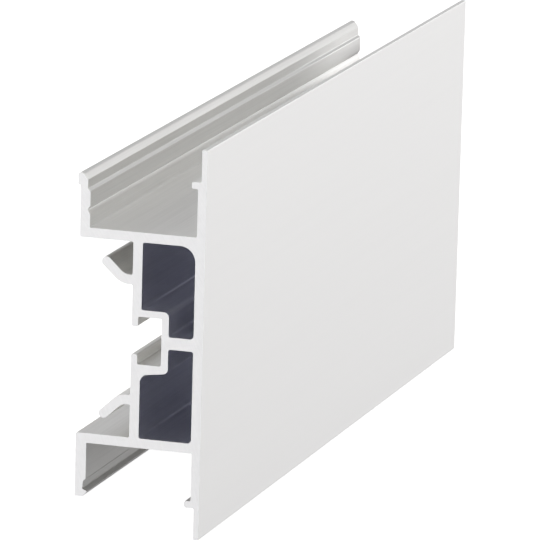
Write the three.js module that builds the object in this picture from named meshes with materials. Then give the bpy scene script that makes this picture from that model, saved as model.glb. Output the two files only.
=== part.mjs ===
// Aluminium extrusion profile: a face plate on a two-chamber box, with a side channel at each end
// of the box, a hardware groove between two curved hooks, and a small rib near each plate edge.
//
// Millimetres, +Z up. The bar lies on its two side walls with the face plate on top.
// X runs across the plate, Y along the bar. The origin is under the middle of the bar, on the floor.

import * as THREE from 'three';

// Bar
const BAR_LENGTH = 185;
const BAR_HEIGHT = 27;

// Corners that are not given a radius of their own
const CORNER_RADIUS = 0.3;
const TIP_RADIUS = 0.4;
const FINE_RADIUS = 0.15;

// Face plate: full thickness over the box, thinner over the side channels and at its edges
const PLATE_WIDTH = 80;
const PLATE_THICKNESS = 2;
const PLATE_CHANNEL_THICKNESS = 1.8;
const PLATE_EDGE_THICKNESS = 1.1;
const PLATE_EDGE_RADIUS = 0.2;

// Ribs under the plate, near its edges
const EDGE_RIB_PLACE = 32;
const EDGE_RIB_THICKNESS = 1.4;
const EDGE_RIB_DROP = 1.35;

// Side channels: a cross wall down from the plate, and a side wall outwards from its foot
const CROSS_WALL_PLACE = 20.15;
const CROSS_WALL_THICKNESS = 2;
const SIDE_WALL_RISE = 0.7;
const NOTCHED_WALL_THICKNESS = 1.95;
const BEADED_WALL_THICKNESS = 2.15;
const SIDE_WALL_REACH = 33.3;

// Side wall ends: a sloped step down to a recess, then a bead that stands out on one side and in on
// the other
const RECESS_PLACE = 30.05;
const RECESS_DEPTH = 0.65;
const RECESS_STEP_WIDTH = 0.45;
const RECESS_STEP_RADIUS = 0.75;
const OUTER_BEAD_WIDTH = 1.9;
const OUTER_BEAD_RADIUS = 0.9;
const OUTER_BEAD_CHAMFER_WIDTH = 1.35;
const OUTER_BEAD_CHAMFER_DROP = 1;
const INNER_BEAD_WIDTH = 1.2;
const INNER_BEAD_HEIGHT = 0.5;
const INNER_BEAD_SLOPE = 0.3;
const MARKING_NOTCH_PLACE = 25.95;
const MARKING_NOTCH_DEPTH = 0.5;

// Box web and chambers
const WEB_RISE = 11.9;
const WEB_THICKNESS = 2;
const MIDDLE_WALL_THICKNESS = 2.5;
const CHAMBER_RADIUS = 0.45;
const CHAMBER_PLATE_RADIUS = 0.8;
const CHAMBER_LARGE_RADIUS = 3.2;

// Hardware groove between the chambers, open through the web
const GROOVE_WIDTH = 9.8;
const GROOVE_MOUTH = 5.7;
const GROOVE_DEPTH = 6.35;
const GROOVE_LIP_THICKNESS = 1.35;
const GROOVE_WALL_THICKNESS = 1.4;
const GROOVE_BACK_THICKNESS = 1.5;
const GROOVE_SHOULDER_RADIUS = 1.1;

// Groove wall in the sloped chamber: it thickens towards the web and ends in a splayed foot
const GROOVE_WALL_SLOPE = 0.7;
const GROOVE_FOOT_WIDTH = 1.2;
const GROOVE_FOOT_HEIGHT = 0.7;
const GROOVE_FOOT_RADIUS = 1.4;

// Curved hooks on the web, one each side of the groove
const CURVED_HOOK_PLACE = 11.35;
const CURVED_HOOK_THICKNESS = 2;
const CURVED_HOOK_STEM = 1.65;
const CURVED_HOOK_ARM = 5.4;
const CURVED_HOOK_TURN = THREE.MathUtils.degToRad(43);
const CURVED_HOOK_BEND_RADIUS = 2.5;
const CURVED_HOOK_TIP_RADIUS = 0.7;

const SEGMENTS_PER_HALF_ARC = 3;

const PLATE_UNDERSIDE = BAR_HEIGHT - PLATE_THICKNESS;
const CHANNEL_ROOF = BAR_HEIGHT - PLATE_CHANNEL_THICKNESS;
const EDGE_UNDERSIDE = BAR_HEIGHT - PLATE_EDGE_THICKNESS;
const CHANNEL_BACK = CROSS_WALL_PLACE + CROSS_WALL_THICKNESS;
const NOTCHED_WALL_TOP = SIDE_WALL_RISE + NOTCHED_WALL_THICKNESS;
const BEADED_WALL_TOP = SIDE_WALL_RISE + BEADED_WALL_THICKNESS;
const WEB_TOP = WEB_RISE + WEB_THICKNESS;
const GROOVE_BACK = WEB_RISE + GROOVE_DEPTH;
const GROOVE_BACK_TOP = GROOVE_BACK + GROOVE_BACK_THICKNESS;
const GROOVE_SHOULDER = GROOVE_WIDTH / 2 + GROOVE_WALL_THICKNESS;

// The section is drawn as two halves that meet on the middle plane. Each function below returns
// corners [distance from the middle plane, z, corner radius], in order round the section from
// the plate to the groove.

function plateAndEdgeRib() {
  const edge = PLATE_WIDTH / 2;
  const ribBack = EDGE_RIB_PLACE + EDGE_RIB_THICKNESS;
  const ribTip = CHANNEL_ROOF - EDGE_RIB_DROP;
  return [
    [edge, BAR_HEIGHT, PLATE_EDGE_RADIUS],
    [edge, EDGE_UNDERSIDE, PLATE_EDGE_RADIUS],
    [ribBack, EDGE_UNDERSIDE, CORNER_RADIUS],
    [ribBack, ribTip, TIP_RADIUS],
    [EDGE_RIB_PLACE, ribTip, TIP_RADIUS],
    [EDGE_RIB_PLACE, CHANNEL_ROOF, CORNER_RADIUS],
  ];
}

// Side wall with a marking notch along its inner face, and at its end a bead that stands out and
// is chamfered on the inside.
function notchedSideWall() {
  const recess = NOTCHED_WALL_TOP - RECESS_DEPTH;
  const beadStart = SIDE_WALL_REACH - OUTER_BEAD_WIDTH;
  return [
    [CHANNEL_BACK, NOTCHED_WALL_TOP, FINE_RADIUS],
    [MARKING_NOTCH_PLACE - MARKING_NOTCH_DEPTH, NOTCHED_WALL_TOP, 0],
    [MARKING_NOTCH_PLACE, NOTCHED_WALL_TOP - MARKING_NOTCH_DEPTH, 0],
    [MARKING_NOTCH_PLACE + MARKING_NOTCH_DEPTH, NOTCHED_WALL_TOP, 0],
    [RECESS_PLACE - RECESS_STEP_WIDTH, NOTCHED_WALL_TOP, RECESS_STEP_RADIUS],
    [RECESS_PLACE, recess, RECESS_STEP_RADIUS],
    [SIDE_WALL_REACH - OUTER_BEAD_CHAMFER_WIDTH, recess, FINE_RADIUS],
    [SIDE_WALL_REACH, recess - OUTER_BEAD_CHAMFER_DROP, FINE_RADIUS],
    [SIDE_WALL_REACH, 0, OUTER_BEAD_RADIUS],
    [beadStart, 0, TIP_RADIUS],
    [beadStart - SIDE_WALL_RISE / 2, SIDE_WALL_RISE, CORNER_RADIUS],
  ];
}

// Side wall with a bead that stands in at its end.
function beadedSideWall() {
  const recess = BEADED_WALL_TOP - RECESS_DEPTH;
  const beadStart = SIDE_WALL_REACH - INNER_BEAD_WIDTH;
  const beadTop = BEADED_WALL_TOP + INNER_BEAD_HEIGHT;
  return [
    [CHANNEL_BACK, BEADED_WALL_TOP, FINE_RADIUS],
    [RECESS_PLACE - RECESS_STEP_WIDTH, BEADED_WALL_TOP, RECESS_STEP_RADIUS],
    [RECESS_PLACE, recess, RECESS_STEP_RADIUS],
    [beadStart, recess, FINE_RADIUS],
    [beadStart + INNER_BEAD_SLOPE, beadTop, TIP_RADIUS],
    [SIDE_WALL_REACH, beadTop, TIP_RADIUS],
    [SIDE_WALL_REACH, SIDE_WALL_RISE, CORNER_RADIUS],
  ];
}

// The hook leaves the web downwards, bends away from the groove and ends in a rounded tip.
function curvedHook() {
  const outside = CURVED_HOOK_PLACE + CURVED_HOOK_THICKNESS;
  const bend = WEB_RISE - CURVED_HOOK_STEM;
  const insideBend = bend - CURVED_HOOK_THICKNESS * Math.tan(CURVED_HOOK_TURN / 2);
  const along = [Math.sin(CURVED_HOOK_TURN), -Math.cos(CURVED_HOOK_TURN)];
  const tip = [outside + CURVED_HOOK_ARM * along[0], bend + CURVED_HOOK_ARM * along[1]];
  const heel = [tip[0] + CURVED_HOOK_THICKNESS * along[1], tip[1] - CURVED_HOOK_THICKNESS * along[0]];
  return [
    [outside, WEB_RISE, CORNER_RADIUS],
    [outside, bend, CURVED_HOOK_BEND_RADIUS],
    [...tip, CURVED_HOOK_TIP_RADIUS],
    [...heel, CURVED_HOOK_TIP_RADIUS],
    [CURVED_HOOK_PLACE, insideBend, CURVED_HOOK_BEND_RADIUS + CURVED_HOOK_THICKNESS],
    [CURVED_HOOK_PLACE, WEB_RISE, CORNER_RADIUS],
  ];
}

function grooveHalf() {
  const lipTop = WEB_RISE + GROOVE_LIP_THICKNESS;
  return [
    [GROOVE_MOUTH / 2, WEB_RISE, CORNER_RADIUS],
    [GROOVE_MOUTH / 2, lipTop, TIP_RADIUS],
    [GROOVE_WIDTH / 2, lipTop, CORNER_RADIUS],
    [GROOVE_WIDTH / 2, GROOVE_BACK, CORNER_RADIUS],
  ];
}

function outerHalf(sideWall) {
  return [
    ...plateAndEdgeRib(),
    [CHANNEL_BACK, CHANNEL_ROOF, CORNER_RADIUS],
    ...sideWall(),
    [CROSS_WALL_PLACE, SIDE_WALL_RISE, CORNER_RADIUS],
    [CROSS_WALL_PLACE, WEB_RISE, CORNER_RADIUS],
    ...curvedHook(),
    ...grooveHalf(),
  ];
}

// Chamber with a large round where the cross wall meets the plate.
function roundChamber() {
  const middle = MIDDLE_WALL_THICKNESS / 2;
  return [
    [middle, GROOVE_BACK_TOP, CHAMBER_RADIUS],
    [middle, PLATE_UNDERSIDE, CHAMBER_PLATE_RADIUS],
    [CROSS_WALL_PLACE, PLATE_UNDERSIDE, CHAMBER_LARGE_RADIUS],
    [CROSS_WALL_PLACE, WEB_TOP, CHAMBER_RADIUS],
    [GROOVE_SHOULDER, WEB_TOP, CHAMBER_RADIUS],
    [GROOVE_SHOULDER, GROOVE_BACK_TOP, GROOVE_SHOULDER_RADIUS],
  ];
}

// Chamber whose groove wall thickens towards the web.
function slopedChamber() {
  const middle = MIDDLE_WALL_THICKNESS / 2;
  const foot = GROOVE_SHOULDER + GROOVE_WALL_SLOPE;
  return [
    [middle, GROOVE_BACK_TOP, CHAMBER_RADIUS],
    [middle, PLATE_UNDERSIDE, CHAMBER_RADIUS],
    [CROSS_WALL_PLACE, PLATE_UNDERSIDE, CHAMBER_PLATE_RADIUS],
    [CROSS_WALL_PLACE, WEB_TOP, CHAMBER_RADIUS],
    [foot + GROOVE_FOOT_WIDTH, WEB_TOP, CHAMBER_RADIUS],
    [foot, WEB_TOP + GROOVE_FOOT_HEIGHT, GROOVE_FOOT_RADIUS],
    [GROOVE_SHOULDER, GROOVE_BACK_TOP, GROOVE_SHOULDER_RADIUS],
  ];
}

function mirrored(corners) {
  return corners.map(([x, z, radius]) => [-x, z, radius]).reverse();
}

// Draws a closed outline through the corners, each rounded by an arc that touches both its sides.
function drawOutline(path, corners) {
  corners.forEach(([x, z, radius], index) => {
    if (radius === 0) {
      path.lineTo(x, z);
      return;
    }
    const corner = new THREE.Vector2(x, z);
    const [xBefore, zBefore] = corners.at(index - 1);
    const [xAfter, zAfter] = corners[(index + 1) % corners.length];
    const before = new THREE.Vector2(xBefore, zBefore).sub(corner).normalize();
    const after = new THREE.Vector2(xAfter, zAfter).sub(corner).normalize();
    const halfAngle = Math.acos(before.dot(after)) / 2;
    const bisector = before.clone().add(after).normalize();
    const centre = corner.clone().addScaledVector(bisector, radius / Math.sin(halfAngle));
    const touch = radius / Math.tan(halfAngle);
    const start = corner.clone().addScaledVector(before, touch).sub(centre);
    const end = corner.clone().addScaledVector(after, touch).sub(centre);
    path.absarc(centre.x, centre.y, radius, start.angle(), end.angle(), start.cross(end) < 0);
  });
  path.closePath();
  return path;
}

// The outline runs anticlockwise, as ExtrudeGeometry needs of a shape with holes.
function section() {
  const outline = [...outerHalf(beadedSideWall), ...mirrored(outerHalf(notchedSideWall))].reverse();
  const shape = drawOutline(new THREE.Shape(), outline);
  shape.holes.push(drawOutline(new THREE.Path(), mirrored(roundChamber())));
  shape.holes.push(drawOutline(new THREE.Path(), slopedChamber()));
  return shape;
}

function profileBar() {
  const geometry = new THREE.ExtrudeGeometry(section(), {
    depth: BAR_LENGTH,
    curveSegments: SEGMENTS_PER_HALF_ARC,
    bevelEnabled: false,
  });
  const aluminium = new THREE.MeshStandardMaterial({ color: 0xe4e4e1, roughness: 0.45, metalness: 0.9 });
  const bar = new THREE.Mesh(geometry, aluminium);
  bar.name = 'profile_bar';
  bar.rotation.x = Math.PI / 2;
  bar.position.y = BAR_LENGTH / 2;
  return bar;
}

const profile = new THREE.Group();
profile.add(profileBar());

export default profile;
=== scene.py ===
import math

import bmesh
import bpy
from mathutils import Matrix, Vector


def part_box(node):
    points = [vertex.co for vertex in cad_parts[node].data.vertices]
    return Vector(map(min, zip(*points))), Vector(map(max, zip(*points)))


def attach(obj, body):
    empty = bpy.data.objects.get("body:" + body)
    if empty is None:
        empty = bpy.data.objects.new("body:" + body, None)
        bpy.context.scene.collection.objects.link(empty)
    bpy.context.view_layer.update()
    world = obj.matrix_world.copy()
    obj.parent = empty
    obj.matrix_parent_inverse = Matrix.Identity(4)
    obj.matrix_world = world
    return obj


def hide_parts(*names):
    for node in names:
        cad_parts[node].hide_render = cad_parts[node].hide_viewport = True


bl_info = {
    "name": "Aluminium Extrusion Profile",
    "version": (1, 0, 0),
    "blender": (4, 5, 0),
    "location": "3D View > Sidebar > Profile",
    "description": "Builds a sawn length of satin aluminium profile on a pale studio floor",
    "category": "Mesh",
}

MM = 0.001
BAR_NODE = "profile_bar"
BODY = "root"

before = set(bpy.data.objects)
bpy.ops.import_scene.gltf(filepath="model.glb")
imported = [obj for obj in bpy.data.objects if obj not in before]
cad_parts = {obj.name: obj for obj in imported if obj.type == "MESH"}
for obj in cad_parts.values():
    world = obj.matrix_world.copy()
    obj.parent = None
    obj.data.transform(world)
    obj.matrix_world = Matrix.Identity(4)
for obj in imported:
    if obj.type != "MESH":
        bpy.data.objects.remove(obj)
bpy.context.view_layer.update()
BAR_LOW, BAR_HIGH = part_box(BAR_NODE)

# ---------------------------------------------------------------------------------------------
# The section. Millimetres: x across the plate from the middle plane, z up from the floor.
# Each function gives corners (x, z, corner radius), in order round the section.
# ---------------------------------------------------------------------------------------------

# The top layer of the plate that has the face finish, the lit copy of the metal; the skin elsewhere is
# coloured darker as painted shade
FACE_DEPTH = 0.1

# Corners that are not given a radius of their own
CORNER_RADIUS = 0.3
TIP_RADIUS = 0.4
FINE_RADIUS = 0.15

# Face plate: full thickness over the box, thinner over the side channels and at its edges
PLATE_THICKNESS = 2
PLATE_CHANNEL_THICKNESS = 1.8
PLATE_EDGE_THICKNESS = 1.1
PLATE_EDGE_RADIUS = 0.2

# Ribs under the plate, near its edges
EDGE_RIB_PLACE = 32
EDGE_RIB_THICKNESS = 1.4
EDGE_RIB_DROP = 1.35

# Side channels: a cross wall down from the plate, and a side wall outwards from its foot
CROSS_WALL_PLACE = 20.15
CROSS_WALL_THICKNESS = 2
SIDE_WALL_RISE = 0.55
NOTCHED_WALL_THICKNESS = 2.1
BEADED_WALL_THICKNESS = 2.3
SIDE_WALL_REACH = 33.3
CHANNEL_BACK = CROSS_WALL_PLACE + CROSS_WALL_THICKNESS
NOTCHED_WALL_TOP = SIDE_WALL_RISE + NOTCHED_WALL_THICKNESS
BEADED_WALL_TOP = SIDE_WALL_RISE + BEADED_WALL_THICKNESS

# Side wall ends: a sloped step down to a recess, then a bead that stands out on one side and in on
# the other
RECESS_PLACE = 30.1
RECESS_DEPTH = 0.55
RECESS_STEP_WIDTH = 0.42
RECESS_STEP_RADIUS = 0.3
OUTER_BEAD_WIDTH = 2.35
OUTER_BEAD_RADIUS = 0.55
OUTER_BEAD_CHAMFER_WIDTH = 1.35
OUTER_BEAD_CHAMFER_DROP = 1
OUTER_BEAD_CHAMFER_RADIUS = 0.9
INNER_BEAD_WIDTH = 1.55
INNER_BEAD_HEIGHT = 0.4
INNER_BEAD_SLOPE = 0.45
INNER_BEAD_RECESS_FALL = 0.12
INNER_BEAD_CHAMFER = 1
MARKING_NOTCH_PLACE = 25.8
MARKING_NOTCH_WIDTH = 0.85
MARKING_NOTCH_DEPTH = 0.56

# Box web and chambers
WEB_RISE = 11.9
WEB_THICKNESS = 2
MIDDLE_WALL_THICKNESS = 2.5
CHAMBER_RADIUS = 0.45
CHAMBER_PLATE_RADIUS = 0.8
CHAMBER_LARGE_RADIUS = 3.2
WEB_TOP = WEB_RISE + WEB_THICKNESS

# Hardware groove between the chambers, open through the web
GROOVE_WIDTH = 9.8
GROOVE_MOUTH = 5.7
GROOVE_DEPTH = 6.35
GROOVE_LIP_THICKNESS = 1.35
GROOVE_WALL_THICKNESS = 1.4
GROOVE_BACK_THICKNESS = 1.5
GROOVE_SHOULDER_RADIUS = 1.1
GROOVE_BACK = WEB_RISE + GROOVE_DEPTH
GROOVE_BACK_TOP = GROOVE_BACK + GROOVE_BACK_THICKNESS
GROOVE_SHOULDER = GROOVE_WIDTH / 2 + GROOVE_WALL_THICKNESS

# Groove wall in the sloped chamber: it thickens towards the web and ends in a splayed foot
GROOVE_WALL_SLOPE = 0.7
GROOVE_FOOT_WIDTH = 1.2
GROOVE_FOOT_HEIGHT = 0.7
GROOVE_FOOT_RADIUS = 1.4

# Curved hooks on the web, one each side of the groove
CURVED_HOOK_PLACE = 11.35
CURVED_HOOK_THICKNESS = 2
CURVED_HOOK_STEM = 1.65
CURVED_HOOK_ARM = 5.4
CURVED_HOOK_TURN = math.radians(43)
CURVED_HOOK_BEND_RADIUS = 2.5
CURVED_HOOK_TIP_RADIUS = 0.95


def plate_and_edge_rib(width, height):
    edge = width / 2
    channel_roof = height - PLATE_CHANNEL_THICKNESS
    edge_underside = height - PLATE_EDGE_THICKNESS
    rib_back = EDGE_RIB_PLACE + EDGE_RIB_THICKNESS
    rib_tip = channel_roof - EDGE_RIB_DROP
    return [
        (edge, height, PLATE_EDGE_RADIUS),
        (edge, edge_underside, PLATE_EDGE_RADIUS),
        (rib_back, edge_underside, CORNER_RADIUS),
        (rib_back, rib_tip, TIP_RADIUS),
        (EDGE_RIB_PLACE, rib_tip, TIP_RADIUS),
        (EDGE_RIB_PLACE, channel_roof, CORNER_RADIUS),
        (CHANNEL_BACK, channel_roof, CORNER_RADIUS),
    ]


def notched_side_wall():
    """Side wall with a marking notch along its inner face, and at its end a bead that stands out
    and is chamfered on the inside."""
    recess = NOTCHED_WALL_TOP - RECESS_DEPTH
    bead_start = SIDE_WALL_REACH - OUTER_BEAD_WIDTH
    return [
        (CHANNEL_BACK, NOTCHED_WALL_TOP, FINE_RADIUS),
        (MARKING_NOTCH_PLACE - MARKING_NOTCH_WIDTH, NOTCHED_WALL_TOP, 0),
        (MARKING_NOTCH_PLACE, NOTCHED_WALL_TOP - MARKING_NOTCH_DEPTH, 0),
        (MARKING_NOTCH_PLACE + MARKING_NOTCH_WIDTH, NOTCHED_WALL_TOP, 0),
        (RECESS_PLACE - RECESS_STEP_WIDTH, NOTCHED_WALL_TOP, RECESS_STEP_RADIUS),
        (RECESS_PLACE, recess, RECESS_STEP_RADIUS),
        (SIDE_WALL_REACH - OUTER_BEAD_CHAMFER_WIDTH, recess, FINE_RADIUS),
        (SIDE_WALL_REACH, recess - OUTER_BEAD_CHAMFER_DROP, OUTER_BEAD_CHAMFER_RADIUS),
        (SIDE_WALL_REACH, 0, OUTER_BEAD_RADIUS),
        (bead_start, 0, TIP_RADIUS),
        (bead_start - SIDE_WALL_RISE / 2, SIDE_WALL_RISE, CORNER_RADIUS),
    ]


def beaded_side_wall():
    """Side wall with a bead that stands in at its end."""
    recess = BEADED_WALL_TOP - RECESS_DEPTH
    bead_start = SIDE_WALL_REACH - INNER_BEAD_WIDTH
    bead_top = BEADED_WALL_TOP + INNER_BEAD_HEIGHT
    return [
        (CHANNEL_BACK, BEADED_WALL_TOP, FINE_RADIUS),
        (RECESS_PLACE - RECESS_STEP_WIDTH, BEADED_WALL_TOP, RECESS_STEP_RADIUS),
        (RECESS_PLACE, recess, RECESS_STEP_RADIUS),
        (bead_start, recess - INNER_BEAD_RECESS_FALL, FINE_RADIUS),
        (bead_start + INNER_BEAD_SLOPE, bead_top, FINE_RADIUS),
        (SIDE_WALL_REACH, bead_top - INNER_BEAD_CHAMFER, TIP_RADIUS),
        (SIDE_WALL_REACH, SIDE_WALL_RISE, CORNER_RADIUS),
    ]


def curved_hook():
    """The hook leaves the web downwards, bends away from the groove and ends in a rounded tip."""
    outside = CURVED_HOOK_PLACE + CURVED_HOOK_THICKNESS
    bend = WEB_RISE - CURVED_HOOK_STEM
    inside_bend = bend - CURVED_HOOK_THICKNESS * math.tan(CURVED_HOOK_TURN / 2)
    along_x, along_z = math.sin(CURVED_HOOK_TURN), -math.cos(CURVED_HOOK_TURN)
    tip_x = outside + CURVED_HOOK_ARM * along_x
    tip_z = bend + CURVED_HOOK_ARM * along_z
    heel_x = tip_x + CURVED_HOOK_THICKNESS * along_z
    heel_z = tip_z - CURVED_HOOK_THICKNESS * along_x
    return [
        (outside, WEB_RISE, CORNER_RADIUS),
        (outside, bend, CURVED_HOOK_BEND_RADIUS),
        (tip_x, tip_z, CURVED_HOOK_TIP_RADIUS),
        (heel_x, heel_z, CURVED_HOOK_TIP_RADIUS),
        (CURVED_HOOK_PLACE, inside_bend, CURVED_HOOK_BEND_RADIUS + CURVED_HOOK_THICKNESS),
        (CURVED_HOOK_PLACE, WEB_RISE, CORNER_RADIUS),
    ]


def groove_half():
    lip_top = WEB_RISE + GROOVE_LIP_THICKNESS
    return [
        (GROOVE_MOUTH / 2, WEB_RISE, CORNER_RADIUS),
        (GROOVE_MOUTH / 2, lip_top, TIP_RADIUS),
        (GROOVE_WIDTH / 2, lip_top, CORNER_RADIUS),
        (GROOVE_WIDTH / 2, GROOVE_BACK, CORNER_RADIUS),
    ]


def outer_half(side_wall, width, height):
    return [
        *plate_and_edge_rib(width, height),
        *side_wall(),
        (CROSS_WALL_PLACE, SIDE_WALL_RISE, CORNER_RADIUS),
        (CROSS_WALL_PLACE, WEB_RISE, CORNER_RADIUS),
        *curved_hook(),
        *groove_half(),
    ]


def round_chamber(height):
    """Chamber with a large round where the cross wall meets the plate."""
    middle = MIDDLE_WALL_THICKNESS / 2
    roof = height - PLATE_THICKNESS
    return [
        (middle, GROOVE_BACK_TOP, CHAMBER_RADIUS),
        (middle, roof, CHAMBER_PLATE_RADIUS),
        (CROSS_WALL_PLACE, roof, CHAMBER_LARGE_RADIUS),
        (CROSS_WALL_PLACE, WEB_TOP, CHAMBER_RADIUS),
        (GROOVE_SHOULDER, WEB_TOP, CHAMBER_RADIUS),
        (GROOVE_SHOULDER, GROOVE_BACK_TOP, GROOVE_SHOULDER_RADIUS),
    ]


def sloped_chamber(height):
    """Chamber whose groove wall thickens towards the web."""
    middle = MIDDLE_WALL_THICKNESS / 2
    roof = height - PLATE_THICKNESS
    foot = GROOVE_SHOULDER + GROOVE_WALL_SLOPE
    return [
        (middle, GROOVE_BACK_TOP, CHAMBER_RADIUS),
        (middle, roof, CHAMBER_RADIUS),
        (CROSS_WALL_PLACE, roof, CHAMBER_PLATE_RADIUS),
        (CROSS_WALL_PLACE, WEB_TOP, CHAMBER_RADIUS),
        (foot + GROOVE_FOOT_WIDTH, WEB_TOP, CHAMBER_RADIUS),
        (foot, WEB_TOP + GROOVE_FOOT_HEIGHT, GROOVE_FOOT_RADIUS),
        (GROOVE_SHOULDER, GROOVE_BACK_TOP, GROOVE_SHOULDER_RADIUS),
    ]


def mirrored(corners):
    return [(-x, z, radius) for x, z, radius in reversed(corners)]


def section_outlines(width, height):
    """The outer outline and the two chamber outlines, as lists of corners in millimetres."""
    outer = outer_half(beaded_side_wall, width, height)
    outer += mirrored(outer_half(notched_side_wall, width, height))
    return [outer, mirrored(round_chamber(height)), sloped_chamber(height)]


# ---------------------------------------------------------------------------------------------
# Settings
# ---------------------------------------------------------------------------------------------


class ProfileSizes(bpy.types.PropertyGroup):
    """Sizes that the bar is drawn from"""

    bar_length: bpy.props.FloatProperty(
        name="Bar Length", description="Distance between the two saw cuts",
        default=BAR_HIGH.y - BAR_LOW.y, min=0.01, unit="LENGTH")
    plate_width: bpy.props.FloatProperty(
        name="Plate Width", description="Width of the face plate",
        default=BAR_HIGH.x - BAR_LOW.x, min=0.07, unit="LENGTH")
    bar_height: bpy.props.FloatProperty(
        name="Bar Height", description="Height from the floor to the face plate",
        default=BAR_HIGH.z - BAR_LOW.z, min=0.024, unit="LENGTH")
    edge_break: bpy.props.FloatProperty(
        name="Edge Break", description="Width of the small bevel round each saw cut",
        default=0.06 * MM, min=0.0, unit="LENGTH")
    arc_facets: bpy.props.IntProperty(
        name="Arc Facets", description="Flat steps in each rounded corner",
        default=8, min=1, max=32)


class ProfileFinish(bpy.types.PropertyGroup):
    """Colours and textures of the metal. The face, skin and chamber colours are copies of one metal
    with painted light and shade: the skin is darker than the face as painted shade, and the chambers
    carry a painted blue shade tint.
    """

    # Face and skin are lit and shaded copies of one metal: the skin colour is darker than the face
    # colour as painted shade.
    face_colour_lit_copy: bpy.props.FloatVectorProperty(
        name="Face Colour", description="Colour of the satin face of the plate, the lit copy of the metal",
        default=(0.845, 0.84, 0.84), subtype="COLOR", size=3, min=0.0, max=1.0)
    face_roughness: bpy.props.FloatProperty(
        name="Face Roughness", description="Roughness of the satin face of the plate",
        default=0.5, min=0.0, max=1.0, subtype="FACTOR")
    skin_colour_painted_shade: bpy.props.FloatVectorProperty(
        name="Skin Colour", description="Colour of the skin away from the face, darker than the face as painted shade",
        default=(0.76, 0.755, 0.745), subtype="COLOR", size=3, min=0.0, max=1.0)
    skin_roughness: bpy.props.FloatProperty(
        name="Skin Roughness", description="Roughness of the extruded skin",
        default=0.4, min=0.0, max=1.0, subtype="FACTOR")
    # Painted shade tint: the chamber copy of the metal is tinted blue so that the shade inside the
    # chambers looks cool.
    chamber_colour_painted_shade_tint: bpy.props.FloatVectorProperty(
        name="Chamber Colour", description="Colour of the skin inside the two chambers, tinted blue as painted shade colour",
        default=(0.85, 0.855, 0.9), subtype="COLOR", size=3, min=0.0, max=1.0)
    chamber_roughness: bpy.props.FloatProperty(
        name="Chamber Roughness", description="Roughness of the skin inside the two chambers",
        default=0.3, min=0.0, max=1.0, subtype="FACTOR")
    cut_colour: bpy.props.FloatVectorProperty(
        name="Cut Colour", description="Reflected colour of the freshly sawn ends",
        default=(0.87, 0.865, 0.885), subtype="COLOR", size=3, min=0.0, max=1.0)
    cut_roughness: bpy.props.FloatProperty(
        name="Cut Roughness", description="Roughness of the sawn ends",
        default=0.6, min=0.0, max=1.0, subtype="FACTOR")


class StudioSettings(bpy.types.PropertyGroup):
    """The floor and the light round the bar"""

    floor_colour: bpy.props.FloatVectorProperty(
        name="Floor Colour", description="Colour of the pale floor",
        default=(0.35, 0.35, 0.35), subtype="COLOR", size=3, min=0.0, max=1.0)
    floor_glow: bpy.props.FloatProperty(
        name="Floor Glow", description="How brightly the floor glows for the camera, as a light table",
        default=0.9, min=0.0)
    ambient_light: bpy.props.FloatProperty(
        name="Ambient Light", description="Brightness of the surround away from the soft panels",
        default=0.12, min=0.0)
    table_light: bpy.props.FloatProperty(
        name="Table Light", description="Brightness of the light that comes up through the table",
        default=8.0, min=0.0)
    side_light: bpy.props.FloatProperty(
        name="Side Light", description="Brightness of the wide soft panel beside the bar",
        default=1.72, min=0.0)
    top_light: bpy.props.FloatProperty(
        name="Top Light", description="Brightness of the soft panel over the bar",
        default=1.71, min=0.0)
    rear_light: bpy.props.FloatProperty(
        name="Rear Light", description="Brightness of the soft panel above and behind the far end",
        default=1.71, min=0.0)
    end_light: bpy.props.FloatProperty(
        name="End Light", description="Brightness of the soft panel behind the far end",
        default=1.42, min=0.0)
    fill_light: bpy.props.FloatProperty(
        name="Fill Light",
        description="Brightness of the weak soft panel on the side away from the side panel",
        default=0.2, min=0.0)


# ---------------------------------------------------------------------------------------------
# Materials
# ---------------------------------------------------------------------------------------------


WHITE = (1.0, 1.0, 1.0, 1.0)

# How far a noise that stays near a half is widened
NOISE_SPREAD = 3.0

# How strongly any relief bends the light
RELIEF_STRENGTH = 0.5

# Lines left by the die and drawn out along the bar. Scales are per metre; a tone is the share by
# which the colour goes up and down, and a gloss is the range of the roughness.
LINE_STRETCH = (1.0, 0.008, 1.0)
COARSE_LINE_SCALE = 650.0
FINE_LINE_SCALE = 4200.0
COARSE_LINE_SHARE = 0.4
LINE_RELIEF = 0.02 * MM
LINE_GLOSS = 0.08
FACE_LINE_TONE = 0.006
SKIN_LINE_TONE = 0.05

# Marks left by the saw: arcs about the middle of its blade, beside and below the bar, and grain
BLADE_CENTRE = (0.07, 0.0, -0.13)
ARC_SCALE = 2600.0
ARC_SHARE = 0.5
ARC_RELIEF = 0.01 * MM
GRAIN_SCALE = 900.0
CUT_GLOSS = 0.1
CUT_DARK_TONE = -0.025
CUT_LIGHT_TONE = 0.015

FLOOR_ROUGHNESS = 0.9


class Field:
    """A value on a shader socket; arithmetic on it adds Math nodes to its finish."""

    def __init__(self, finish, socket):
        self.finish = finish
        self.socket = socket

    def math(self, operation, *values):
        return self.finish.node("ShaderNodeMath", {"operation": operation}, dict(enumerate(values)))

    def __add__(self, other):
        return self.math("ADD", self, other)

    def __radd__(self, other):
        return self.math("ADD", other, self)

    def __sub__(self, other):
        return self.math("SUBTRACT", self, other)

    def __rsub__(self, other):
        return self.math("SUBTRACT", other, self)

    def __mul__(self, other):
        return self.math("MULTIPLY", self, other)

    def __rmul__(self, other):
        return self.math("MULTIPLY", other, self)

    def exp(self):
        return self.math("EXPONENT", self)


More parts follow.
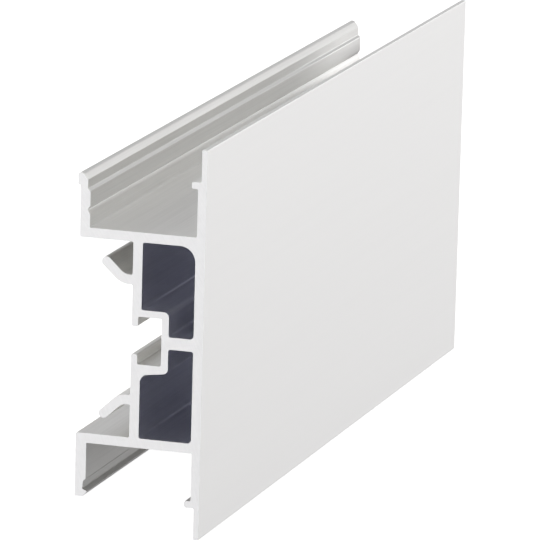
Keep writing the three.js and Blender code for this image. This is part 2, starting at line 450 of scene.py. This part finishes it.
class Finish:
    """A material, or a studio surround, being built from nodes."""

    def __init__(self, owner, end_kind="ShaderNodeOutputMaterial"):
        self.owner = owner
        self.owner.use_nodes = True
        self.tree = self.owner.node_tree
        self.tree.nodes.clear()
        self.end = self.tree.nodes.new(end_kind)

    def node(self, kind, settings=None, sockets=None, output=0):
        """Adds a node, sets its settings and then its sockets, and gives one of its outputs."""
        made = self.tree.nodes.new(kind)
        for name, value in (settings or {}).items():
            setattr(made, name, value)
        for key, value in (sockets or {}).items():
            if isinstance(value, Field):
                self.tree.links.new(value.socket, made.inputs[key])
            else:
                made.inputs[key].default_value = value
        return Field(self, made.outputs[output])

    def finished(self, surface):
        """Links the surface to the output and gives the material or the surround."""
        self.tree.links.new(surface.socket, self.end.inputs["Surface"])
        return self.owner


def shaded(colour, share):
    """A colour made lighter or darker by a share of itself."""
    return tuple(min(part * (1.0 + share), 1.0) for part in colour) + (1.0,)


def spread(noise):
    """Widens a noise that stays near a half, so that it fills the range from 0 to 1."""
    return NOISE_SPREAD * noise - (NOISE_SPREAD - 1.0) / 2


def extruded_finish(name, colour, roughness, line_tone):
    """Metal skin with coarse and fine lines drawn along the bar by the die."""
    metal = Finish(bpy.data.materials.new(name))
    place = metal.node("ShaderNodeTexCoord", output="Object")
    along = metal.node("ShaderNodeMapping", sockets={"Vector": place, "Scale": LINE_STRETCH})
    coarse = metal.node(
        "ShaderNodeTexNoise", sockets={"Vector": along, "Scale": COARSE_LINE_SCALE, "Detail": 2.0})
    fine = metal.node(
        "ShaderNodeTexNoise", sockets={"Vector": along, "Scale": FINE_LINE_SCALE, "Detail": 3.0})
    lines = COARSE_LINE_SHARE * coarse + (1.0 - COARSE_LINE_SHARE) * fine
    tone = metal.node(
        "ShaderNodeMix", {"data_type": "RGBA"},
        {0: spread(lines), 6: shaded(colour, -line_tone), 7: shaded(colour, line_tone)}, output=2)
    gloss = roughness - LINE_GLOSS / 2 + LINE_GLOSS * lines
    bump = metal.node(
        "ShaderNodeBump",
        sockets={"Height": lines, "Strength": RELIEF_STRENGTH, "Distance": LINE_RELIEF})
    surface = metal.node(
        "ShaderNodeBsdfPrincipled",
        sockets={"Base Color": tone, "Metallic": 1.0, "Roughness": gloss, "Normal": bump})
    return metal.finished(surface)


def cut_finish(finish):
    """Fresh sawn face at each end of the bar, with the faint arcs of a round saw blade."""
    metal = Finish(bpy.data.materials.new("sawn_aluminium_end"))
    place = metal.node("ShaderNodeTexCoord", output="Object")
    from_blade = metal.node(
        "ShaderNodeVectorMath", {"operation": "SUBTRACT"}, {0: place, 1: BLADE_CENTRE})
    across = metal.node(
        "ShaderNodeVectorMath", {"operation": "MULTIPLY"}, {0: from_blade, 1: (1.0, 0.0, 1.0)})
    reach = metal.node("ShaderNodeVectorMath", {"operation": "LENGTH"}, {0: across}, output="Value")
    arcs = metal.node(
        "ShaderNodeTexNoise", {"noise_dimensions": "1D"},
        {"W": reach, "Scale": ARC_SCALE, "Detail": 3.0})
    grain = metal.node(
        "ShaderNodeTexNoise", sockets={"Vector": place, "Scale": GRAIN_SCALE, "Detail": 4.0})
    marks = ARC_SHARE * arcs + (1.0 - ARC_SHARE) * grain
    dark = shaded(finish.cut_colour, CUT_DARK_TONE)
    light = shaded(finish.cut_colour, CUT_LIGHT_TONE)
    tone = metal.node(
        "ShaderNodeMix", {"data_type": "RGBA"}, {0: spread(marks), 6: dark, 7: light}, output=2)
    gloss = finish.cut_roughness - CUT_GLOSS / 2 + CUT_GLOSS * marks
    bump = metal.node(
        "ShaderNodeBump",
        sockets={"Height": arcs, "Strength": RELIEF_STRENGTH, "Distance": ARC_RELIEF})
    surface = metal.node(
        "ShaderNodeBsdfPrincipled",
        sockets={"Base Color": tone, "Metallic": 1.0, "Roughness": gloss, "Normal": bump})
    return metal.finished(surface)


def floor_finish(studio):
    """Plain matt floor that glows evenly."""
    board = Finish(bpy.data.materials.new("pale_floor"))
    surface = board.node(
        "ShaderNodeBsdfPrincipled",
        sockets={"Base Color": (*studio.floor_colour, 1.0), "Roughness": FLOOR_ROUGHNESS,
                 "Emission Color": WHITE, "Emission Strength": studio.floor_glow})
    return board.finished(surface)


def backdrop_finish():
    """Evenly lit white paper."""
    paper = Finish(bpy.data.materials.new("white_backdrop"))
    surface = paper.node("ShaderNodeEmission", sockets={"Color": WHITE, "Strength": 1.0})
    return paper.finished(surface)


# ---------------------------------------------------------------------------------------------
# The bar
# ---------------------------------------------------------------------------------------------

# Points closer than this are one point
MERGE_DISTANCE = 0.001 * MM

# A face whose normal lies along the bar by more than this is a sawn end
END_FACING = 0.5

# Bevel round each saw cut, and the angle past which an edge stays sharp
RIM_STEPS = 2
RIM_ANGLE = math.radians(60)
SHARP_ANGLE = math.radians(35)


def corner_loops(name, outlines):
    """Closed loops of edges through the sharp corners of the outer outline and of the chambers.

    Each vertex holds its corner radius, and whether it belongs to a chamber.
    """
    points, edges, radii, chamber = [], [], [], []
    for number, corners in enumerate(outlines):
        start = len(points)
        points += [(x * MM, z * MM, 0.0) for x, z, radius in corners]
        radii += [radius * MM for x, z, radius in corners]
        chamber += [number > 0] * len(corners)
        edges += [(start + i, start + (i + 1) % len(corners)) for i in range(len(corners))]
    mesh = bpy.data.meshes.new(name)
    mesh.from_pydata(points, edges, [])
    mesh.attributes.new("corner_radius", "FLOAT", "POINT").data.foreach_set("value", radii)
    mesh.attributes.new("chamber", "BOOLEAN", "POINT").data.foreach_set("value", chamber)
    return mesh


class GeometryTree:
    """A Geometry Nodes tree being built."""

    def __init__(self, name):
        self.tree = bpy.data.node_groups.new(name, "GeometryNodeTree")
        self.identifiers = {}
        self.input = self.tree.nodes.new("NodeGroupInput")
        self.output = self.tree.nodes.new("NodeGroupOutput")
        self.tree.interface.new_socket("Geometry", in_out="INPUT", socket_type="NodeSocketGeometry")
        self.tree.interface.new_socket("Geometry", in_out="OUTPUT", socket_type="NodeSocketGeometry")

    def add_input(self, name, kind):
        item = self.tree.interface.new_socket(name, in_out="INPUT", socket_type=kind)
        self.identifiers[name] = item.identifier
        return self.input.outputs[name]

    def node(self, kind, settings=None, sockets=None, output=0):
        made = self.tree.nodes.new(kind)
        for name, value in (settings or {}).items():
            setattr(made, name, value)
        for key, value in (sockets or {}).items():
            for item in value if isinstance(value, list) else [value]:
                if isinstance(item, bpy.types.NodeSocket):
                    self.tree.links.new(item, made.inputs[key])
                else:
                    made.inputs[key].default_value = item
        return made.outputs[output]


def extrusion_tree():
    """Rounds the corners of the section, draws it out along the bar and closes its ends."""
    nodes = GeometryTree("profile_extrusion")
    length = nodes.add_input("Length", "NodeSocketFloat")
    height = nodes.add_input("Height", "NodeSocketFloat")
    facets = nodes.add_input("Arc Facets", "NodeSocketInt")
    face, skin, chambers, sawn_ends = [
        nodes.add_input(name, "NodeSocketMaterial")
        for name in ("Face", "Skin", "Chambers", "Sawn Ends")]
    corners = nodes.input.outputs["Geometry"]

    radius = nodes.node(
        "GeometryNodeInputNamedAttribute", {"data_type": "FLOAT"}, {"Name": "corner_radius"})
    in_chamber = nodes.node(
        "GeometryNodeInputNamedAttribute", {"data_type": "BOOLEAN"}, {"Name": "chamber"})
    curve = nodes.node("GeometryNodeMeshToCurve", sockets={"Mesh": corners})
    outline = nodes.node("GeometryNodeFilletCurve", {"mode": "POLY"},
                         {"Curve": curve, "Count": facets, "Radius": radius})
    offset = nodes.node("ShaderNodeCombineXYZ", sockets={"Z": length})
    centring = nodes.node("ShaderNodeVectorMath", {"operation": "SCALE"}, {0: offset, "Scale": -0.5})

    edges = nodes.node("GeometryNodeCurveToMesh", sockets={"Curve": outline})
    walls = nodes.node("GeometryNodeExtrudeMesh", {"mode": "EDGES"},
                       {"Mesh": edges, "Offset": offset, "Offset Scale": 1.0})
    flagged = nodes.node("GeometryNodeStoreNamedAttribute", {"data_type": "BOOLEAN", "domain": "FACE"},
                         {"Geometry": walls, "Name": "chamber_wall", "Value": in_chamber})
    cap = nodes.node("GeometryNodeFillCurve", {"mode": "NGONS"}, {"Curve": outline})
    far_cap = nodes.node("GeometryNodeTransform", sockets={"Geometry": cap, "Translation": offset})
    near_cap = nodes.node("GeometryNodeFlipFaces", sockets={"Mesh": cap})
    joined = nodes.node("GeometryNodeJoinGeometry", sockets={"Geometry": [flagged, far_cap, near_cap]})
    merged = nodes.node(
        "GeometryNodeMergeByDistance", sockets={"Geometry": joined, "Distance": MERGE_DISTANCE})
    centred = nodes.node(
        "GeometryNodeTransform", sockets={"Geometry": merged, "Translation": centring})
    laid = nodes.node("GeometryNodeTransform",
                      sockets={"Geometry": centred, "Rotation": (math.radians(90), 0.0, 0.0)})
    finished = nodes.node("GeometryNodeRealizeInstances", sockets={"Geometry": laid})

    position = nodes.node("GeometryNodeInputPosition")
    rise = nodes.node("ShaderNodeSeparateXYZ", sockets={0: position}, output="Z")
    face_level = nodes.node(
        "ShaderNodeMath", {"operation": "SUBTRACT"}, {0: height, 1: FACE_DEPTH * MM})
    on_face = nodes.node(
        "FunctionNodeCompare", {"operation": "GREATER_THAN"}, {"A": rise, "B": face_level})
    on_chamber = nodes.node(
        "GeometryNodeInputNamedAttribute", {"data_type": "BOOLEAN"}, {"Name": "chamber_wall"})
    normal = nodes.node("GeometryNodeInputNormal")
    along = nodes.node("ShaderNodeSeparateXYZ", sockets={0: normal}, output="Y")
    slant = nodes.node("ShaderNodeMath", {"operation": "ABSOLUTE"}, {0: along})
    on_end = nodes.node(
        "FunctionNodeCompare", {"operation": "GREATER_THAN"}, {"A": slant, "B": END_FACING})
    # The face and skin materials are lit and shaded copies of one metal; the darker skin is painted
    # shade.
    finishes = ((True, skin), (on_face, face), (on_chamber, chambers), (on_end, sawn_ends))
    for selection, material in finishes:
        finished = nodes.node(
            "GeometryNodeSetMaterial",
            sockets={"Geometry": finished, "Selection": selection, "Material": material})
    nodes.tree.links.new(finished, nodes.output.inputs["Geometry"])
    return nodes


def baked(piece):
    """Turns a piece and its modifiers into a plain mesh, and takes the modifiers off."""
    bpy.context.view_layer.update()
    graph = bpy.context.evaluated_depsgraph_get()
    mesh = bpy.data.meshes.new_from_object(piece.evaluated_get(graph), depsgraph=graph)
    mesh.name = piece.name
    piece.modifiers.clear()
    piece.data = mesh


def drop_empty_slots(mesh):
    for slot in reversed(range(len(mesh.materials))):
        if mesh.materials[slot] is None:
            mesh.materials.pop(index=slot)


def face_outwards(mesh):
    work = bmesh.new()
    work.from_mesh(mesh)
    bmesh.ops.recalc_face_normals(work, faces=work.faces)
    work.to_mesh(mesh)
    work.free()


class PROFILE_OT_bar(bpy.types.Operator):
    """Draws the section, extrudes it and gives it its finish"""

    bl_idname = "profile.bar"
    bl_label = "Extruded Bar"

    def execute(self, context):
        sizes = context.scene.profile_sizes
        finish = context.scene.profile_finish
        outlines = section_outlines(sizes.plate_width / MM, sizes.bar_height / MM)
        bar = bpy.data.objects.new("extruded_bar", corner_loops("extruded_bar", outlines))
        context.scene.collection.objects.link(bar)
        tree = extrusion_tree()
        extrude = bar.modifiers.new("Extrusion", "NODES")
        extrude.node_group = tree.tree
        settings = {
            "Length": sizes.bar_length,
            "Height": sizes.bar_height,
            "Arc Facets": sizes.arc_facets,
            # Lit face copy and darker skin copy of one metal; the skin's darker colour is painted
            # shade.
            "Face": extruded_finish(
                "satin_face_lit_copy", finish.face_colour_lit_copy, finish.face_roughness, FACE_LINE_TONE),
            "Skin": extruded_finish(
                "extruded_skin_painted_shade", finish.skin_colour_painted_shade, finish.skin_roughness, SKIN_LINE_TONE),
            # Chamber copy of the metal, tinted blue as painted shade colour.
            "Chambers": extruded_finish(
                "chamber_skin_painted_shade_tint", finish.chamber_colour_painted_shade_tint, finish.chamber_roughness, SKIN_LINE_TONE),
            "Sawn Ends": cut_finish(finish),
        }
        for name, value in settings.items():
            extrude[tree.identifiers[name]] = value
        baked(bar)
        drop_empty_slots(bar.data)
        face_outwards(bar.data)
        if not bar.data.polygons:
            raise RuntimeError("the section gave no faces")

        rim = bar.modifiers.new("Edge Break", "BEVEL")
        rim.width = sizes.edge_break
        rim.segments = RIM_STEPS
        rim.limit_method = "ANGLE"
        rim.angle_limit = RIM_ANGLE
        baked(bar)
        bar.data.shade_smooth()
        bar.data.set_sharp_from_angle(angle=SHARP_ANGLE)
        weighted = bar.modifiers.new("Flat Faces", "WEIGHTED_NORMAL")
        weighted.keep_sharp = True
        baked(bar)

        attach(bar, BODY)
        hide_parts(BAR_NODE)
        return {"FINISHED"}


# ---------------------------------------------------------------------------------------------
# Studio
# ---------------------------------------------------------------------------------------------

FLOOR_SIZE = 12.0
BACKDROP_RADIUS = 7.0
BACKDROP_SUBDIVISIONS = 4

# Soft panels: the direction towards the middle of each, how sharply its light falls off, its colour
TABLE_PANEL = Vector((-0.282, -0.272, -0.92)), 7.6, (1.0, 1.0, 0.97)
SIDE_PANEL = Vector((-0.873, -0.24, 0.425)), 2.9, (0.99, 1.0, 1.0)
TOP_PANEL = Vector((-0.002, 0.631, 0.775)), 22.0, (1.0, 0.99, 0.98)
REAR_PANEL = Vector((-0.131, 0.79, 0.599)), 22.0, (1.0, 1.0, 0.99)
END_PANEL = Vector((0.006, 0.991, -0.132)), 21.7, (0.98, 0.97, 1.0)
FILL_PANEL = Vector((0.93, -0.15, -0.33)), 4.0, (1.0, 1.0, 1.0)

# Light passes many times between the walls of the chambers
LIGHT_BOUNCES = 20

# Camera: heading from +Y towards +X, look down, and roll about the line of sight
VIEW_HEADING = math.radians(13.06)
VIEW_DOWN = math.radians(16.921)
VIEW_ROLL = math.radians(95.421)
VIEW_DISTANCE = 1.4469
VIEW_AIM = Vector((0.00414, -0.00138, 0.01215))
LENS = 453.11
SENSOR = 36.0
NEAREST_SEEN = 0.05
FARTHEST_SEEN = 50.0


def seen_by_camera_only(piece):
    """Keeps a plain background out of the light and the reflections."""
    piece.visible_diffuse = False
    piece.visible_glossy = False
    piece.visible_transmission = False
    piece.visible_shadow = False


def add_floor(studio):
    half = FLOOR_SIZE / 2
    mesh = bpy.data.meshes.new("floor")
    corners = [(-half, -half, 0), (half, -half, 0), (half, half, 0), (-half, half, 0)]
    mesh.from_pydata(corners, [], [(0, 1, 2, 3)])
    mesh.materials.append(floor_finish(studio))
    floor = bpy.data.objects.new("floor", mesh)
    bpy.context.scene.collection.objects.link(floor)
    seen_by_camera_only(floor)


def add_backdrop():
    work = bmesh.new()
    bmesh.ops.create_icosphere(work, subdivisions=BACKDROP_SUBDIVISIONS, radius=BACKDROP_RADIUS)
    bmesh.ops.reverse_faces(work, faces=work.faces)
    mesh = bpy.data.meshes.new("backdrop")
    work.to_mesh(mesh)
    work.free()
    mesh.materials.append(backdrop_finish())
    backdrop = bpy.data.objects.new("backdrop", mesh)
    bpy.context.scene.collection.objects.link(backdrop)
    seen_by_camera_only(backdrop)


def add_camera():
    ahead = Vector((math.sin(VIEW_HEADING) * math.cos(VIEW_DOWN),
                    math.cos(VIEW_HEADING) * math.cos(VIEW_DOWN),
                    -math.sin(VIEW_DOWN)))
    level = ahead.cross(Vector((0, 0, 1))).normalized()
    rise = level.cross(ahead)
    right = level * math.cos(VIEW_ROLL) + rise * math.sin(VIEW_ROLL)
    up = right.cross(ahead)
    data = bpy.data.cameras.new("camera")
    data.lens = LENS
    data.sensor_width = SENSOR
    data.clip_start = NEAREST_SEEN
    data.clip_end = FARTHEST_SEEN
    camera = bpy.data.objects.new("camera", data)
    turn = Matrix((right, up, -ahead)).transposed().to_4x4()
    camera.matrix_world = Matrix.Translation(VIEW_AIM - ahead * VIEW_DISTANCE) @ turn
    bpy.context.scene.collection.objects.link(camera)
    bpy.context.scene.camera = camera


def add_surround(studio):
    """Soft light: a dim surround with bright panels that fade out at their edges."""
    tent = Finish(bpy.data.worlds.new("studio_surround"), "ShaderNodeOutputWorld")
    direction = tent.node("ShaderNodeTexCoord", output="Generated")
    light = tent.node("ShaderNodeBackground",
                      sockets={"Color": WHITE, "Strength": studio.ambient_light})
    for (towards, sharpness, colour), brightness in (
            (TABLE_PANEL, studio.table_light), (SIDE_PANEL, studio.side_light),
            (TOP_PANEL, studio.top_light), (REAR_PANEL, studio.rear_light),
            (END_PANEL, studio.end_light), (FILL_PANEL, studio.fill_light)):
        facing = tent.node("ShaderNodeVectorMath", {"operation": "DOT_PRODUCT"},
                           {0: direction, 1: towards.normalized()}, output="Value")
        strength = brightness * (sharpness * (facing - 1.0)).exp()
        panel = tent.node(
            "ShaderNodeBackground", sockets={"Color": (*colour, 1.0), "Strength": strength})
        light = tent.node("ShaderNodeAddShader", sockets={0: light, 1: panel})
    bpy.context.scene.world = tent.finished(light)


class PROFILE_OT_stage(bpy.types.Operator):
    """Adds the pale floor, the soft light and the camera"""

    bl_idname = "profile.stage"
    bl_label = "Studio"

    def execute(self, context):
        studio = context.scene.profile_studio
        add_floor(studio)
        add_backdrop()
        add_surround(studio)
        add_camera()
        context.scene.view_settings.view_transform = "Standard"
        context.scene.cycles.glossy_bounces = LIGHT_BOUNCES
        context.scene.cycles.max_bounces = LIGHT_BOUNCES
        return {"FINISHED"}


class PROFILE_PT_panel(bpy.types.Panel):
    """Sidebar panel with the sizes, the finish and the build steps"""

    bl_idname = "PROFILE_PT_panel"
    bl_label = "Aluminium Profile"
    bl_space_type = "VIEW_3D"
    bl_region_type = "UI"
    bl_category = "Profile"

    def draw(self, context):
        layout = self.layout
        scene = context.scene
        for settings in (scene.profile_sizes, scene.profile_finish, scene.profile_studio):
            box = layout.box()
            for name in settings.__annotations__:
                box.prop(settings, name)
        layout.operator(PROFILE_OT_bar.bl_idname)
        layout.operator(PROFILE_OT_stage.bl_idname)


CLASSES = (
    ProfileSizes, ProfileFinish, StudioSettings, PROFILE_OT_bar, PROFILE_OT_stage, PROFILE_PT_panel)


def register():
    for cls in CLASSES:
        bpy.utils.register_class(cls)
    bpy.types.Scene.profile_sizes = bpy.props.PointerProperty(type=ProfileSizes)
    bpy.types.Scene.profile_finish = bpy.props.PointerProperty(type=ProfileFinish)
    bpy.types.Scene.profile_studio = bpy.props.PointerProperty(type=StudioSettings)


def unregister():
    del bpy.types.Scene.profile_studio
    del bpy.types.Scene.profile_finish
    del bpy.types.Scene.profile_sizes
    for cls in reversed(CLASSES):
        bpy.utils.unregister_class(cls)


def main():
    register()
    bpy.ops.profile.bar()
    bpy.ops.profile.stage()


if __name__ == "__main__":
    main()
